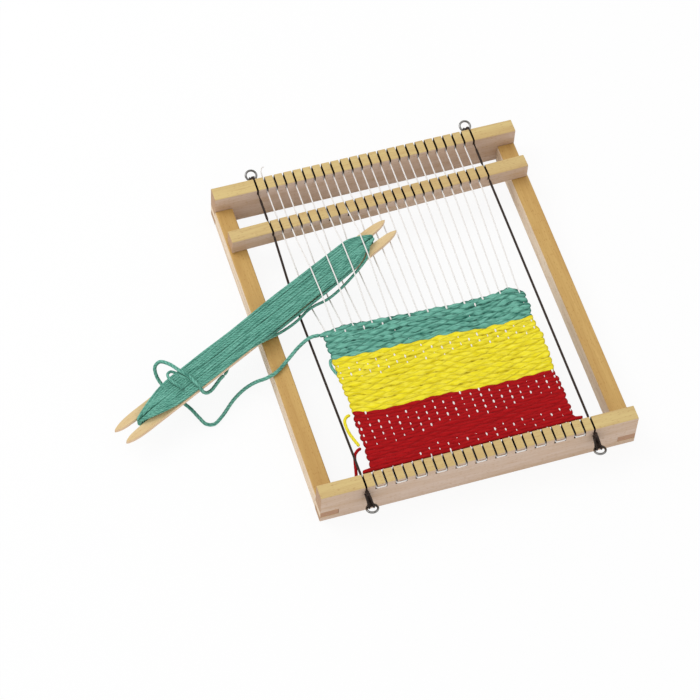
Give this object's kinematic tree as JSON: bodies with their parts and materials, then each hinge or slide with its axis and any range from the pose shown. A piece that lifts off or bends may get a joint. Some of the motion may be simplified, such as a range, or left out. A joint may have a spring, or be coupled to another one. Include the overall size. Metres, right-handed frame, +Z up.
{
  "type": "frame loom",
  "caption": "Wooden frame loom with slotted cross rails, a loose heddle bar, elastic cords on screw eyes, a threaded warp, a half-woven striped strip and a loaded stick shuttle",
  "frame": {"origin": "The middle of the front rail's underside, on the surface that the loom stands on", "axes": "+Z up; +Y from the weaver's front rail to the rear rail, along the warp; +X to the weaver's right"},
  "size_m": [0.4358, 0.3783, 0.047],
  "materials": {
    "beech_top": "sanded plain beech",
    "beech_side": "sanded plain beech, warmer",
    "beech_heddle": "sanded plain beech",
    "shuttle_wood": "thin sanded beech",
    "steel": "bright plated steel wire",
    "elastic": "braided cover over elastic",
    "warp": "smooth twisted cotton",
    "red_yarn": "thick soft wool",
    "yellow_yarn": "thick soft wool",
    "teal_yarn": "thick soft wool"
  },
  "bodies": {
    "root": {"front_rail": "beech_top", "rear_rail": "beech_top", "left_side_rail": "beech_side", "right_side_rail": "beech_side", "screw_eye_front_left": "steel", "screw_eye_front_right": "steel", "screw_eye_rear_left": "steel", "screw_eye_rear_right": "steel", "elastic_cord_left": "elastic", "elastic_cord_right": "elastic", "warp_yarn": "warp", "red_cloth": "red_yarn", "yellow_cloth": "yellow_yarn", "teal_cloth": "teal_yarn", "red_yarn_tail": "red_yarn", "yellow_yarn_tail": "yellow_yarn", "teal_yarn_lead": "teal_yarn"},
    "heddle": {"heddle_bar": "beech_heddle"},
    "shuttle": {"shuttle_stick": "shuttle_wood", "shuttle_winding": "teal_yarn"}
  },
  "joints": [
    {"name": "heddle_slide", "type": "slide", "parent": "root", "child": "heddle", "axis": [0, 1, 0], "range_m": [-0.012, 0.026], "deforming": ["elastic_cord_left", "elastic_cord_right"]},
    {"name": "shuttle_slide", "type": "slide", "parent": "root", "child": "shuttle", "axis": [-0.9029, -0.426, -0.0576], "range_m": [0, 0.15], "deforming": ["teal_yarn_lead"]}
  ]
}
